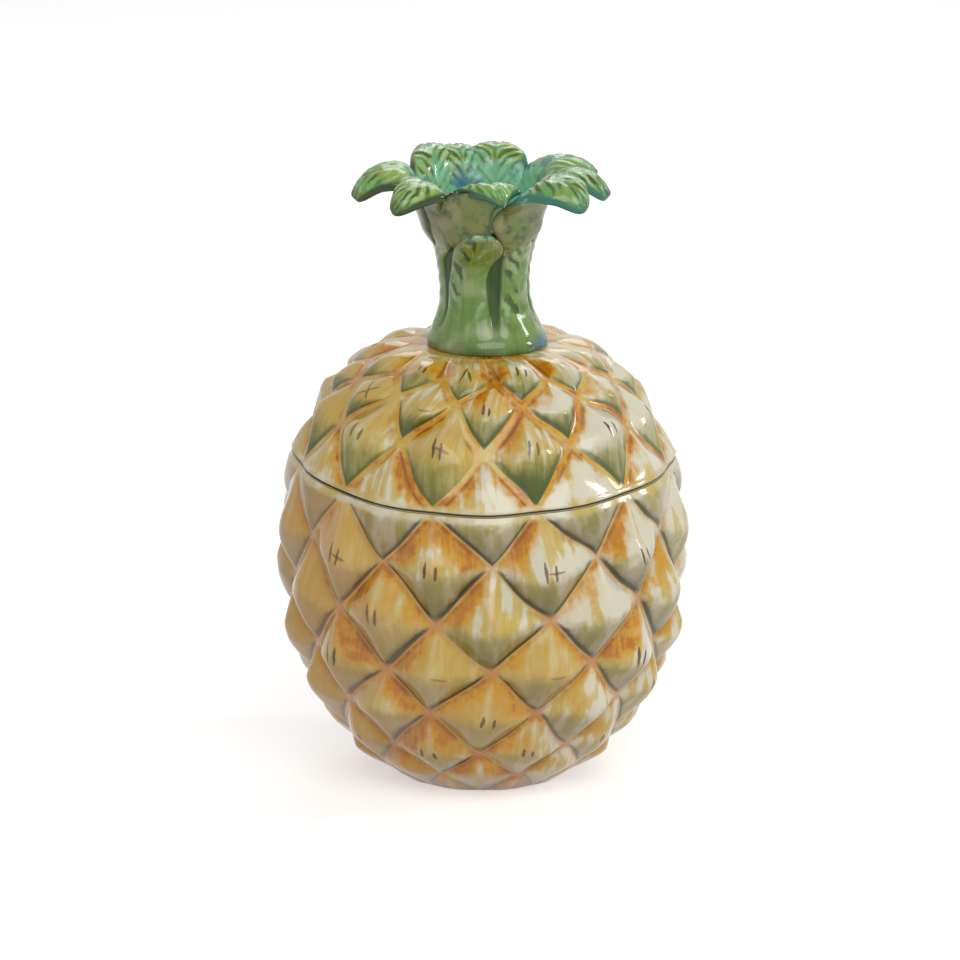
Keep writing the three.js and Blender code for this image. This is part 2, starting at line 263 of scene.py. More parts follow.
class PineappleColours(bpy.types.PropertyGroup):
    """Colours of the glazes."""

    cream: colour_property("Cream", "Ground of the scales", 208, 182, 92)
    straw: colour_property("Straw", "Yellow streaks in the ground", 206, 158, 24)
    # Milk is also the painted light that makes the right side of the scales paler.
    milk: colour_property("Milk", "Pale streaks in the ground", 226, 219, 192)
    ochre: colour_property("Ochre", "Wash on the upper half of a scale", 216, 154, 20)
    orange: colour_property("Orange", "Deepest part of that wash", 188, 108, 0)
    taupe: colour_property("Taupe", "Lower half of a scale of the pot", 160, 138, 96)
    sage: colour_property("Sage", "Lower half of a scale of the lid", 136, 138, 62)
    olive: colour_property("Olive", "Lower tip of a scale of the pot", 84, 84, 40)
    moss: colour_property("Moss", "Lower tip of a scale of the lid", 70, 88, 20)
    # Shade is also the painted shade in the seam gap between the lid and the pot.
    shade: colour_property("Shade", "Brush line under a scale", 60, 56, 32)
    rust: colour_property("Rust", "Line in the valleys between scales", 142, 84, 14)
    # Rose is also the painted pink reflection low on the pot and at its left.
    rose: colour_property("Rose", "Where valleys cross low on the pot", 206, 142, 84)
    stroke: colour_property("Stroke", "Pairs of small brush strokes", 70, 36, 32)
    leaf: colour_property("Leaf", "Upper side of the crown's leaves", 118, 176, 84)
    lime: colour_property("Lime", "Yellow-green streaks in the leaves", 146, 176, 62)
    vein: colour_property("Vein", "Brushed veins", 40, 70, 14)
    # Mint is also painted highlight: the pale streaks on the leaves and the sheaths, and the sheath tips.
    mint: colour_property("Mint", "Pale streaks between the veins", 176, 218, 174)
    aqua: colour_property("Aqua", "Pale streaks in the heart of the crown", 136, 212, 176)
    # Teal is also the painted shade along the right edges of the leaves.
    teal: colour_property("Teal", "Edges of the leaves", 38, 118, 100)
    blue: colour_property("Blue", "Accents in the heart of the crown", 36, 124, 176)
    underside: colour_property("Underside", "Lower side of the leaves", 126, 126, 60)
    stem: colour_property("Stem", "Stem of the crown", 104, 140, 64)
    # Painted shade: the foot of the stem, the left edges of the leaves, the leaf undersides' edges and the
    # sheath rims.
    stem_shade: colour_property("Dark stem", "Foot and hollows of the stem", 38, 62, 12)
    # Painted shade in the grooves between the sheath leaves.
    hollow: colour_property("Hollow", "Between the sheath leaves", 24, 58, 6)
    liner: colour_property("Liner", "Plain glaze inside", 226, 218, 194)
    clay: colour_property("Clay", "Bare clay of the foot", 210, 186, 152)


def sizes():
    """The sizes of the open scene."""
    return bpy.context.scene.pineapple_sizes


def colours():
    """The colours of the open scene."""
    return bpy.context.scene.pineapple_colours


# Surfaces


def place(radius, angle, height):
    """Points from a radius, an angle in degrees and a height: (radius sin, -radius cos, height)."""
    turn = np.radians(angle)
    radius, turn, height = np.broadcast_arrays(radius, turn, height)
    return np.stack([radius * np.sin(turn), -radius * np.cos(turn), height], axis=-1)


def smooth(low, high, value):
    """0 below low, 1 above high, and 3t^2 - 2t^3 between them."""
    share = np.clip((value - low) / (high - low), 0, 1)
    return share * share * (3 - 2 * share)


def through(rows, step):
    """The smooth curve through the rows of a table, at steps counted in rows: the Catmull-Rom cubic."""
    last = len(rows) - 1
    step = np.clip(step, 0, last)
    low = np.minimum(step.astype(int), last - 1)
    t = (step - low)[..., None]
    before, start, end, after = (rows[np.clip(low + k, 0, last)] for k in (-1, 0, 1, 2))
    bend = 2 * before - 5 * start + 4 * end - after
    twist = 3 * start - before - 3 * end + after
    return 0.5 * (2 * start + (end - before) * t + bend * t**2 + twist * t**3)


def fitted(points):
    """Radius and height as drawn, fitted to the sizes of the scene, in millimetres."""
    own = sizes()
    radius = points[..., 0] * (own.widest / MM / DRAWN_WIDEST)
    height = points[..., 1]
    seam = own.seam / MM
    below = height * seam / DRAWN_SEAM
    above = seam + (height - DRAWN_SEAM) * own.rise / MM / DRAWN_RISE
    return radius, np.where(height < DRAWN_SEAM, below, above)


def cell_of(column, row):
    """The scale that a point of the lattice lies in, as the column and the row of its middle. The scales of
    the first row reach up to the crown."""
    right = np.floor((column + row) / 2)
    left = np.floor((column - row) / 2)
    first = row < 0
    return np.where(first, 2 * np.floor(column / 2) + 1, right + left + 1), np.where(first, 0, right - left)


def inside_scale(x, y, middle_row):
    """1 in the middle of a scale and 0 on its edge: 1 - |x| - |y|, or above the middle of a scale of the
    first row, whose top is broad, (1 - |x|^(1 + 2.5 |y|)) (1 - 0.45 y^2)."""
    side, far = np.minimum(np.abs(x), 1), np.abs(y)
    arch = (1 - side ** (1 + 2.5 * far)) * (1 - 0.45 * far**2)
    return np.where((middle_row == 0) & (y < 0), arch, 1 - side - far)


def chances(column, row, count, seed):
    """Random numbers from 0 to 1 that belong to a scale."""
    table = np.random.default_rng(seed).random((COLUMNS, FOOT_ROW + 3, count))
    return table[np.mod(column, COLUMNS).astype(int), row.astype(int) + 1]


def crease(distance, width):
    """How much a crease at 0 is flattened: a parabola over the width on each side, and 0 beyond it."""
    far = np.minimum(np.abs(distance), width)
    return (width - far) ** 2 / (2 * width)


def wander(column, row, seed):
    """A small shift that changes smoothly over the lattice: a sum of three waves that close round the
    box."""
    draw = np.random.default_rng(seed)
    shift = np.zeros(np.broadcast(column, row).shape)
    for waves in (5, 9, 14):
        phase = 2 * np.pi * (waves * column / COLUMNS + draw.random())
        shift = shift + np.sin(phase + row * draw.uniform(1.2, 3.2) * draw.choice([-1, 1]))
    return shift / 3


def relief(column, row):
    """Height of a scale from 0 in the valleys to 1 at its peak. It falls straight from the peak along the
    upper half and stays high along the lower half. Ridges are rounded, and the valleys have a flat
    margin."""
    middle_column, middle_row = cell_of(column, row)
    x, y = column - middle_column, row - middle_row
    by_hand = chances(middle_column, middle_row, 3, SHAPE_SEED) * 2 - 1
    lift = inside_scale(x, y, middle_row)
    x = x - 0.07 * by_hand[..., 0] * lift
    y = y - (0.02 + 0.06 * by_hand[..., 1]) * lift
    bend = crease(x, UPRIGHT_RIDGE) + crease(y, LEVEL_RIDGE)
    peak = np.clip((inside_scale(x, y, middle_row) - bend) / (1 - (UPRIGHT_RIDGE + LEVEL_RIDGE) / 2), 0, 1)
    peak = np.minimum(peak, 1.3 * lift)
    margin = MARGINS[middle_row.astype(int)]
    soft = 0.05
    risen = (peak - margin) / (1 - margin)
    risen = (risen + np.sqrt(risen**2 + soft**2)) / 2
    floor = (np.sqrt(margin**2 + soft**2) - margin) / 2
    risen = np.clip((risen - floor) / (1 - floor), 0, 1)
    upper = risen**0.9
    lower = 1 - (1 - risen) ** 1.7
    share = upper + (lower - upper) * smooth(-0.2, 0.2, y)
    return share * (1 + 0.08 * by_hand[..., 2] * lift)


def skin(column, row):
    """Radius, angle and height of the scaled outside, which lies between the curve through the corners and
    the curve through the peaks. Each row is turned, spread and lifted a little, and all lines wander."""
    share = relief(column, row)
    stray = through(STRAY, row - FIRST_ROW)
    angle = LATTICE_TURN + column * 360 / COLUMNS
    turn = np.radians(angle)
    angle = angle + stray[..., 0] + stray[..., 1] * (np.sin(turn) + 0.35 * np.sin(2 * turn))
    angle = angle + wander(column, row, TURN_SEED)
    climb = stray[..., 2] * np.sin(turn) ** 2 * (1 - 0.25 * np.sin(turn)) / ROW_HEIGHT
    free = smooth(0, 0.7, np.abs(row - SEAM_ROW)) * smooth(FIRST_ROW, 0.5, row) * smooth(FOOT_ROW, 8.5, row)
    climb = climb + 0.09 * wander(column, row, CLIMB_SEED) * free
    rows = through(SKIN, row - FIRST_ROW - climb)
    corner, top = np.split(rows, 2, axis=-1)
    radius, height = fitted(corner + (top - corner) * share[..., None])
    return radius, angle, height


def wall_behind(step):
    """Radius and height of the inside of the wall: the corners' curve moved inwards by the wall."""
    near = 0.5
    row = np.asarray(step, float) - FIRST_ROW
    here = through(SKIN[:, :2], row)
    way = through(SKIN[:, :2], row + near) - through(SKIN[:, :2], row - near)
    way = way / np.linalg.norm(way, axis=-1, keepdims=True)
    inwards = np.stack([way[..., 1], -way[..., 0]], axis=-1)
    return fitted(here + inwards * sizes().wall / MM)


def new_piece(name, points, faces, body, replaced, finishes, face_material=None):
    """A mesh object from points in millimetres, and its faces, which are turned outwards."""
    points = np.asarray(points, float).reshape(-1, 3) * MM
    faces = np.asarray(faces)
    corners = points[faces]
    volume = np.einsum("ij,ij->", corners[:, 0], np.cross(corners[:, 1], corners[:, 2]))
    if volume < 0:
        faces = faces[:, ::-1]
    mesh = bpy.data.meshes.new(name)
    mesh.from_pydata(points.tolist(), [], faces.tolist())
    mesh.shade_smooth()
    for each in finishes:
        mesh.materials.append(finish(each))
    if face_material is not None:
        mesh.polygons.foreach_set("material_index", np.asarray(face_material, np.int32))
    if mesh.validate():
        raise RuntimeError(f"the mesh of {name} had faults")
    piece = link(name, mesh)
    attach(piece, body)
    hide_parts(*replaced)
    return piece, faces


def write_attribute(piece, name, domain, values):
    """Puts an array of vectors on the points, the corners or the faces of a piece."""
    layer = piece.data.attributes.new(name, "FLOAT_VECTOR", domain)
    layer.data.foreach_set("vector", np.ascontiguousarray(values, np.float32).ravel())


def loft_faces(rings, count, closed=False, split=None):
    """Triangles of a stack of rings of points. The last ring meets the first where closed is true, and else
    two poles, which come after the rings, close the stack. Each quad is cut from its far corner to its near
    one, or the other way where split is true."""
    ring = np.arange(rings if closed else rings - 1)[:, None]
    spot = np.arange(count)
    beside = (spot + 1) % count
    beyond = (ring + 1) % rings * count
    a, b, c, d = ring * count + spot, ring * count + beside, beyond + beside, beyond + spot
    other = np.zeros((*a.shape, 1), bool) if split is None else split[..., None]
    first = np.where(other, np.stack([a, b, d], -1), np.stack([a, b, c], -1))
    second = np.where(other, np.stack([b, c, d], -1), np.stack([a, c, d], -1))
    faces = [np.stack([first, second], axis=2).reshape(-1, 3)]
    if not closed:
        pole = np.full(count, rings * count)
        top = (rings - 1) * count
        faces.append(np.stack([pole, beside, spot], -1))
        faces.append(np.stack([top + spot, top + beside, pole + 1], -1))
    return np.concatenate(faces)


def plain_rings(profile, column, row):
    """Plain round rings from a list of radii and heights, at the angles that the columns have on a row."""
    angle = skin(column, np.full(column.shape, float(row)))[1]
    radius, height = np.asarray(profile, float).T
    return place(radius[:, None], angle[None, :], height[:, None])


def rim_rings(column, side):
    """Rings that round a rim at the seam, from the outer wall to the flat that the lid and the pot share.
    side is -1 for the pot, whose rim faces up, and 1 for the lid. The flat slopes from the wavy outer edge
    to the level edge of the mouth."""
    own = sizes()
    radius, angle, height = skin(column, np.full(column.shape, float(SEAM_ROW)))
    edge, gap = own.edge / MM, own.gap / MM
    rings = []
    for turn in np.radians(ROUNDING):
        inwards = edge * (1 - math.cos(turn))
        drop = edge * (1 - math.sin(turn)) + gap / 2
        rings.append(place(radius - inwards, angle, height + side * drop))
    mouth, seam = own.mouth / MM, own.seam / MM
    for share in (0.3, 0.6, 0.9):
        at = radius - edge + (mouth + edge - radius) * share
        rings.append(place(at, angle, height + (seam - height) * share + side * gap / 2))
    for turn in np.radians([30, 60, 90]):
        at = mouth + edge * (1 - math.sin(turn))
        rings.append(place(at, angle, seam + side * (gap / 2 + edge * (1 - math.cos(turn)))))
    return rings


def painting(column, row):
    """How each scale is painted: the letters of the marks, and the six strengths from 0 to 1."""
    draw = chances(column, row, 8, PAINT_SEED)
    strengths = (draw[..., 1:7, None] > STRENGTH_ODDS).sum(axis=-1) / 3
    kinds = np.where(draw[..., 0] < CROSS_ODDS, "C", "O")
    kinds = np.where(draw[..., 0] < PAIR_ODDS, "P", kinds)
    for painted_row, scales in PAINTING.items():
        for painted_column, code in scales.items():
            here = (row == painted_row) & (np.mod(column - painted_column, COLUMNS) == 0)
            kinds[here] = code[0]
            strengths[here] = np.array([int(digit) for digit in code[1:]]) / 3
    kinds[(row == SEAM_ROW) | (row > 8.5)] = "O"
    return kinds, strengths


def mark_numbers(column, row, kinds):
    """The painted mark of each scale as three vectors: (side, height, half length) in millimetres,
    (distance apart, slant of the first, slant of the second), and (cross stroke, olive, strength)."""
    draw = chances(column, row, 8, MARK_SEED)
    top = row < 2
    spacing = np.where(top, 3.0, 3.7) + 1.4 * (draw[..., 1] - 0.5)
    slant = 0.25 * (draw[..., 2] - 0.5)
    half = np.where(top, 2.7, 4.5) + 1.6 * (draw[..., 3] - 0.5)
    half = np.where(row > 6.5, half * 0.7, half)
    crossed, hat = kinds == "X", kinds == "A"
    half = np.where(crossed, 5.0, np.where(hat, 3.5, half))
    first = np.where(crossed, 0.9, np.where(hat, -0.5, slant))
    second = np.where(crossed, -0.9, np.where(hat, 0.5, slant + 0.2 * (draw[..., 4] - 0.5)))
    spacing = np.where(crossed, 0.0, np.where(hat, 3.0, spacing))
    side = 2.5 * (draw[..., 5] - 0.5)
    height = 2.0 * (draw[..., 6] - 0.5)
    olive = np.where(crossed | hat, 1.0, 0.0)
    strength = np.where((kinds == "O") | (kinds == "F"), 0.0, 0.75 + 0.25 * draw[..., 7])
    cross = np.where(kinds == "C", 1.0, np.where(kinds == "F", 0.75, 0.0))
    return (np.stack([side, height, half], -1), np.stack([spacing, first, second], -1),
            np.stack([cross, olive, strength], -1))


def paint_places(piece, faces, column, row):
    """Writes where each corner of the scaled faces lies on its scale, for the paint: scale_at is (x, y and
    distance from the raised edge) in millimetres, scale_row is (x, y, row) in shares of a scale,
    scale_upper and scale_lower are the strengths of its paint, and brush_way is (cos, sin, row), which the
    streaks run along."""
    columns = column[faces]
    wraps = columns.max(axis=1) - columns.min(axis=1) > COLUMNS / 2
    columns = np.where(wraps[:, None] & (columns < 0), columns + COLUMNS, columns)
    rows = row[faces]
    middle_column, middle_row = cell_of(columns.mean(axis=1), rows.mean(axis=1))
    x = columns - middle_column[:, None]
    y = rows - middle_row[:, None]
    height = inside_scale(x, y, middle_row[:, None]) - MARGINS[middle_row.astype(int)][:, None]
    corners = np.empty(len(piece.data.vertices) * 3)
    piece.data.vertices.foreach_get("co", corners)
    corners = corners.reshape(-1, 3)[faces] / MM
    wide = np.hypot(corners[..., 0], corners[..., 1]) * 2 * np.pi / COLUMNS
    row_steps = np.interp(rows, np.arange(FIRST_ROW, FOOT_ROW + 1), ROW_STEPS)
    edge = height * wide * row_steps / np.hypot(wide, row_steps)
    write_attribute(piece, "scale_at", "CORNER", np.stack([x * wide, y * row_steps, edge], -1))
    write_attribute(piece, "scale_row", "CORNER", np.stack([x, y, rows], -1))
    kinds, strengths = painting(middle_column, middle_row)
    write_attribute(piece, "scale_upper", "FACE", strengths[:, :3])
    write_attribute(piece, "scale_lower", "FACE", strengths[:, 3:])
    marks = mark_numbers(middle_column, middle_row, kinds)
    for name, values in zip(("mark_at", "mark_shape", "mark_kind"), marks):
        write_attribute(piece, name, "FACE", values)
    turn = np.radians(column * 360 / COLUMNS)
    write_attribute(piece, "brush_way", "POINT", np.stack([np.cos(turn), np.sin(turn), row], -1))


def skin_grid(rows):
    """Columns and rows of the scaled part of a piece, one ring for each of the rows."""
    column = np.arange(COLUMNS * COLUMN_STEPS) / COLUMN_STEPS - COLUMNS / 2
    return np.broadcast_arrays(column[None, :], np.asarray(rows, float)[:, None])


def scaled_piece(name, body, replaced, finishes, rows, before, after, lead, closed):
    """A piece with the scaled skin on the given rows and plain rings before and after it, some of which are
    a rim at the seam. The first finish is on the skin, on the lead rings before it and on the rounding
    after it, the second one is on the rings after that, and the last one on the first rings."""
    column, row = skin_grid(rows)
    count = column.shape[1]
    rings = np.concatenate([before, place(*skin(column, row)), after])
    first, last = len(before), len(before) + len(rows)
    ring_row = np.full(len(rings), float(rows[0]))
    ring_row[first:last] = rows
    ring_row[last:] = rows[-1]
    near = np.linspace(ROUNDING_ROW, 0.0, len(ROUNDING))
    if rows[0] > SEAM_ROW:
        ring_row[last:last + len(near)] = SEAM_ROW + near
    else:
        ring_row[first - len(near):first] = SEAM_ROW - near[::-1]
    quads, poles = (len(rings), 0) if closed else (len(rings) - 1, 2)
    middle_row = np.append((ring_row[:-1] + ring_row[1:]) / 2, rows[0])[:quads]
    parity = np.floor(column[:1] + 1e-6) + np.floor(middle_row)[:, None]
    faces = loft_faces(len(rings), count, closed, np.mod(parity, 2) == 0)
    points = np.concatenate([rings.reshape(-1, 3), (rings[[0, -1], 0] * (0, 0, 1))[:poles]])
    ring = np.append(np.repeat(np.arange(quads), 2 * count), np.repeat([0, quads], count)[:poles * count])
    face_material = np.where(ring < first - lead, len(finishes) - 1, ring >= last + GLAZED_OVER)
    piece, faces = new_piece(name, points, faces, body, replaced, finishes, face_material)
    point_column = np.concatenate([np.tile(column[0], len(rings)), np.zeros(poles)])
    point_row = np.concatenate([np.repeat(ring_row, count), np.full(poles, rows[-1])])
    paint_places(piece, faces, point_column, point_row)


def make_pot():
    """The pot: a flat foot with a shallow hollow, the scaled skin from row 10 up to the seam, the rim, and
    the inside of the wall down to a flat floor."""
    column = skin_grid([SEAM_ROW])[0][0]
    foot = [(10, 1.6), (24, 1.5), (29, 1.2), (31, 0.3), (32, 0.0), (34.4, 0.0)]
    rows = np.arange(FOOT_ROW * COLUMN_STEPS, SEAM_ROW * COLUMN_STEPS + 1, -1) / COLUMN_STEPS
    inside = np.stack(wall_behind([3.7, 4, 4.5, 5, 5.5, 6, 6.5, 7, 7.5, 8, 8.5, 9]), -1).tolist()
    inside = [point for point in inside if point[1] > 13.5]
    low = inside[-1][0]
    inside += [(low - 4, 10.2), (low - 9, 8.1), (low - 15, 7.2), (low - 24, 7.0), (6, 7.0)]
    after = np.concatenate([rim_rings(column, -1), plain_rings(inside, column, SEAM_ROW)])
    scaled_piece("painted_pot", "pot", ["pot"], ("Painted scales", "Liner glaze", "Bare clay"), rows,
                 plain_rings(foot, column, FOOT_ROW), after, lead=1, closed=False)


def make_lid():
    """The lid: the rim, the scaled skin from the seam up to row -1, the seat of the crown, the vent under
    it, and the inside of the dome down to the ledge that the locating ring hangs from."""
    own = sizes()
    seam = own.seam / MM
    seat = (own.seam + own.rise) / MM - SEAT_DROP
    ceiling = wall_behind([0.0])[1][0] + 3.0
    ledge = own.mouth / MM - RING_PLAY - RING_WIDTH
    column = skin_grid([SEAM_ROW])[0][0]
    rows = np.arange(SEAM_ROW * COLUMN_STEPS - 2, FIRST_ROW * COLUMN_STEPS - 1, -1) / COLUMN_STEPS
    top = [(29, seat + 0.05), (26, seat), (8, seat), (5.6, seat - 0.2), (5, seat - 0.8), (5, ceiling + 0.8),
           (5.6, ceiling + 0.1), (8, ceiling), (24, ceiling - 0.2), (36, ceiling - 1.6)]
    inner = np.stack(wall_behind([0.3, 0.6, 1, 1.4, 1.8, 2.2, 2.5]), -1).tolist()
    inner += [(ledge, seam + 4.5), (ledge, seam + 1), (ledge + 0.6, seam + 0.2)]
    after = np.concatenate([plain_rings(top, column, FIRST_ROW), plain_rings(inner, column, SEAM_ROW)])
    scaled_piece("painted_lid", "lid", ["lid_dome"], ("Painted scales", "Liner glaze"), rows,
                 rim_rings(column, 1)[::-1], after, lead=len(ROUNDING), closed=True)


def make_locating_ring():
    """The ring under the lid: a rectangle with rounded lower corners carried round the axis."""
    own = sizes()
    outer = own.mouth / MM - RING_PLAY
    inner = outer - RING_WIDTH
    top = own.seam / MM
    low = top - RING_DEPTH
    corner = RING_ROUNDING
    profile = [(inner, top), (inner, low + corner)]
    for turn in np.radians([30, 60, 90]):
        profile.append((inner + corner * (1 - math.cos(turn)), low + corner * (1 - math.sin(turn))))
    for turn in np.radians([0, 30, 60, 90]):
        profile.append((outer - corner * (1 - math.sin(turn)), low + corner * (1 - math.cos(turn))))
    profile.append((outer, top))
    rings = plain_rings(profile, skin_grid([SEAM_ROW])[0][0][::2], SEAM_ROW)
    faces = loft_faces(*rings.shape[:2], closed=True)
    new_piece("locating_ring", rings, faces, "lid", ["lid_locating_ring"], ["Liner glaze"])


# Crown


def crown_points(points):
    """Points of the crown put on the lid: shifted to the right by less the higher they are, and raised."""
    own = sizes()
    height = points[..., 2:]
    shift = own.crown_shift / MM + LEAN[0] - LEAN[1] * height
    raised = height + (own.seam + own.rise) / MM
    return np.concatenate([points[..., :1] + shift, points[..., 1:2], raised], axis=-1)


def stem_radius(height):
    """Radius of the plain stem at a height above the seat."""
    fine = through(STEM, np.linspace(0, len(STEM) - 1, 400))
    return np.interp(height, fine[:, 1], fine[:, 0])


def grooved(height):
    """How far the stem is cut back between the sheaths: nothing at the foot, and full depth above it."""
    return GROOVE_DEPTH * smooth(3, 12, height)


def write_stem_places(piece, points, groove):
    """Writes where each point of the stem lies, for the paint: brush_way as on the scales, and stem_at,
    which is (in a groove, share of the height, 0)."""
    radius = np.maximum(np.hypot(points[:, 0], points[:, 1]), 0.1)
    height = points[:, 2]
    way = np.stack([-points[:, 1] / radius, points[:, 0] / radius, height / ROW_HEIGHT], -1)
    write_attribute(piece, "brush_way", "POINT", way)
    write_attribute(piece, "stem_at", "POINT", np.stack([groove, height / STEM[-1, 1], 0 * height], -1))


def make_trunk():
    """The stem of the crown: a flared foot, a waist that is cut back between the sheaths, and a funnel."""
    count, rows = STEM_POINTS
    angle = np.arange(count) * 360 / count
    heights = np.concatenate([[0.0, 0.25, 0.8], np.linspace(1.5, STEM[-1, 1], rows)])
    inset = np.zeros(len(heights))
    inset[:3] = [0.8, 0.3, 0.1]
    outer = stem_radius(heights) - grooved(heights) - inset
    bore = [(BORE_RADIUS, BORE_DEPTH), (BORE_RADIUS, 1.0), (BORE_RADIUS + 1, 0.0), (22.0, 0.0)]
    rim = [(23.2, 53.2), (22.4, 53.5)] + FUNNEL
    profile = np.array(bore + list(zip(outer, heights)) + rim)
    profile[:len(bore) + 6, 1] -= SEAT_DROP * smooth(2.5, 0.5, profile[:len(bore) + 6, 1])
    profile[0, 1] = BORE_DEPTH
    rings = place(profile[:, :1], angle[None, :], profile[:, 1:])
    poles = np.array([[0, 0, BORE_DEPTH], [0, 0, FUNNEL[-1][1] - 0.4]])
    points = np.concatenate([rings.reshape(-1, 3), poles])
    faces = loft_faces(len(rings), count)
    piece, _ = new_piece(
        "crown_trunk", crown_points(points), faces, "lid", ["crown_stem"], ["Painted stem"])
    inner = np.concatenate([np.repeat(np.arange(len(rings)) >= len(rings) - len(rim), count), [False, True]])
    write_stem_places(piece, points, smooth(4, 12, points[:, 2]) * (1 - inner))


def blade_grid(count, rows, crowding):
    """Places round the section of a blade, across from -1 to 1 and over from 1 on the upper face to -1, and
    places along it, which lie closer together towards the tip: the power crowding of a sine."""
    turn = np.arange(count) * 2 * np.pi / count
    across = np.sign(np.cos(turn)) * np.abs(np.cos(turn)) ** 0.8
    over = np.sign(np.sin(turn)) * np.abs(np.sin(turn)) ** 0.62
    return across, over, np.sin(np.linspace(0, np.pi / 2, rows)) ** crowding


def closed_ends(rings):
    """All points of some rings, and then the middles of the first and of the last ring."""
    return np.concatenate([rings.reshape(-1, 3), rings[[0, -1]].mean(axis=1)])


def blade(name, points, finish_name, across, along, over):
    """A closed blade from rings of points, with a pole at each end. It stands for the node of that name. Its
    attribute blade_at is (across, along, over), and it has the places of a stem."""
    at = closed_ends(np.stack(np.broadcast_arrays(across[None, :], along[:, None], over[None, :]), -1))
    faces = loft_faces(*points.shape[:2])
    points = closed_ends(points)
    piece, _ = new_piece("painted_" + name, crown_points(points), faces, "lid", [name], [finish_name])
    write_attribute(piece, "blade_at", "POINT", at)
    write_stem_places(piece, points, np.zeros(len(points)))


def make_sheath(name, outline, turned, mirrored, lip):
    """A short leaf that lies on the stem. Its edges follow an outline to a rounded tip, and its face swells
    from its edges, with a shallow midrib and slanting folds, and fades into the foot."""
    across, over, along = blade_grid(*SHEATH_POINTS, 1.1)
    height, left, right = through(outline.astype(float), along * (len(outline) - 1)).T[:, :, None]
    if mirrored:
        middle = (outline[0, 1] + outline[0, 2]) / 2
        left, right = 2 * middle - right, 2 * middle - left
    angle = turned + (left + right) / 2 + (right - left) / 2 * across
    side = np.abs(across)[None, :]
    shut = smooth(1.0, 0.9, along)[:, None]
    swell = np.sqrt(np.clip(1 - side**3, 0, 1)) * (0.6 + 0.4 * shut)
    rib = 0.5 * np.exp(-((across / 0.12) ** 2)) * shut
    folds = 0.25 * np.sin(2 * np.pi * (height / 6.5 - side * 1.2)) * np.sin(np.pi * np.clip(side, 0, 1)) ** 2
    stands = sizes().sheath_thickness / MM * swell - (rib + folds) * smooth(8, 14, height)
    lift = lip * smooth(34, 50, height)
    front = -grooved(height) + stands * smooth(3, 12, height) - 0.6 * smooth(7, 3, height) + lift
    back = -grooved(height) - 1.2 + 0.4 * lift
    radius = stem_radius(height) + back + (front - back) * (over + 1) / 2
    blade(name, place(radius, angle, height), "Painted sheaths", across, along, over)


def make_leaf(name, angles, widths, crest, tip, roll, stands):
    """A long leaf of the crown: its middle follows a smooth curve from its base on the stem over a crest to
    a drooping tip, its section is a flattened oval with a grooved midrib and low edges, and its tip is
    round."""
    thick = sizes().leaf_thickness / MM
    crest = np.array([crest[0], crest[1] - thick / 2])
    tip = np.array(tip)
    start = np.array([26.2 + stands, 58.0])
    spine = np.array([
        [20.6 + 0.3 * stands, 42.0], [22.8 + 0.6 * stands, 46.5], [24.4 + stands, 51.5], start,
        start + (crest - start) * [0.22, 0.42],
        start + (crest - start) * [0.52, 0.84],
        crest,
        crest + (tip - crest) * [0.52, 0.2],
        tip,
    ])
    across, over, along = blade_grid(*LEAF_POINTS, 1.25)
    station = along * (len(spine) - 1)
    line = through(spine, station)
    way = np.gradient(line, axis=0)
    way = way / np.maximum(np.linalg.norm(way, axis=1, keepdims=True), 1e-6)
    rows = through(np.array([angles, widths], float).T, station)
    round_tip = np.sqrt(np.clip(1 - np.clip((station - 5.8) / 2.2, 0, 1) ** 2.6, 0, 1))
    half = rows[:, 1] * np.maximum(round_tip, 0.02)
    open_up = smooth(0.44, 0.66, along)[:, None]
    thinned = np.sqrt(np.clip(1 - np.clip((station - 7.0) / 1.0, 0, 1) ** 2.4, 0, 1))
    body = thick * (0.62 + 0.38 * smooth(0.3, 0.6, along)) * np.maximum(thinned, 0.05)
    body = body * (0.25 + 0.75 * smooth(0.0, 0.25, along))
    side = np.abs(across)[None, :]
    droop = (0.3 + 2.2 * open_up) * side**2
    groove = np.exp(-((across / 0.12) ** 2))[None, :] * smooth(1.0, 0.85, along)[:, None]
    barbs = np.sin(2 * np.pi * (along[:, None] * BARBS - side * BARB_SLANT))
    veins = 0.3 * barbs * np.sin(np.pi * np.clip(side, 0, 1))
    face = (veins * open_up - groove) * np.maximum(over, 0)[None, :]
    lift = roll * across[None, :] * half[:, None] * open_up
    offset = body[:, None] / 2 * over[None, :] + face - droop + lift
    radius = line[:, :1] - way[:, 1:] * offset
    height = line[:, 1:] + way[:, :1] * offset
    reach = np.maximum(line[:, 0], 20.0)
    angle = rows[:, :1] + np.degrees(half / reach)[:, None] * across[None, :]
    blade(name, place(radius, angle, height), "Painted leaves", across, along, over)


# Paint


class Value:
    """A number, a vector or a colour that a shader works out. Arithmetic with it adds Math nodes."""

    def __init__(self, palette, socket):
        self.palette = palette
        self.socket = socket

    def __add__(self, other):
        return self.palette.math("ADD", self, other)

    def __sub__(self, other):
        return self.palette.math("SUBTRACT", self, other)

    def __rsub__(self, other):
        return self.palette.math("SUBTRACT", other, self)

    def __mul__(self, other):
        return self.palette.math("MULTIPLY", self, other)

    def __truediv__(self, other):
        return self.palette.math("DIVIDE", self, other)

    def __abs__(self):
        return self.palette.math("ABSOLUTE", self)

    __radd__ = __add__
    __rmul__ = __mul__

    def at_least(self, other):
        """The greater of two values."""
        return self.palette.math("MAXIMUM", self, other)

    def at_most(self, other):
        """The smaller of two values."""
        return self.palette.math("MINIMUM", self, other)

    def root(self):
        """The square root."""
        return self.palette.math("SQRT", self)

    def step(self, low, high, to_low=0.0, to_high=1.0):
        """The value carried smoothly from the range of low to high to another range."""
        inputs = dict(enumerate((self, low, high, to_low, to_high)))
        return self.palette.result("MapRange", inputs, interpolation_type="SMOOTHSTEP")

    def under(self, colour, share):
        """This colour with a share of another one painted over it."""
        return self.palette.blend(share, self, colour)


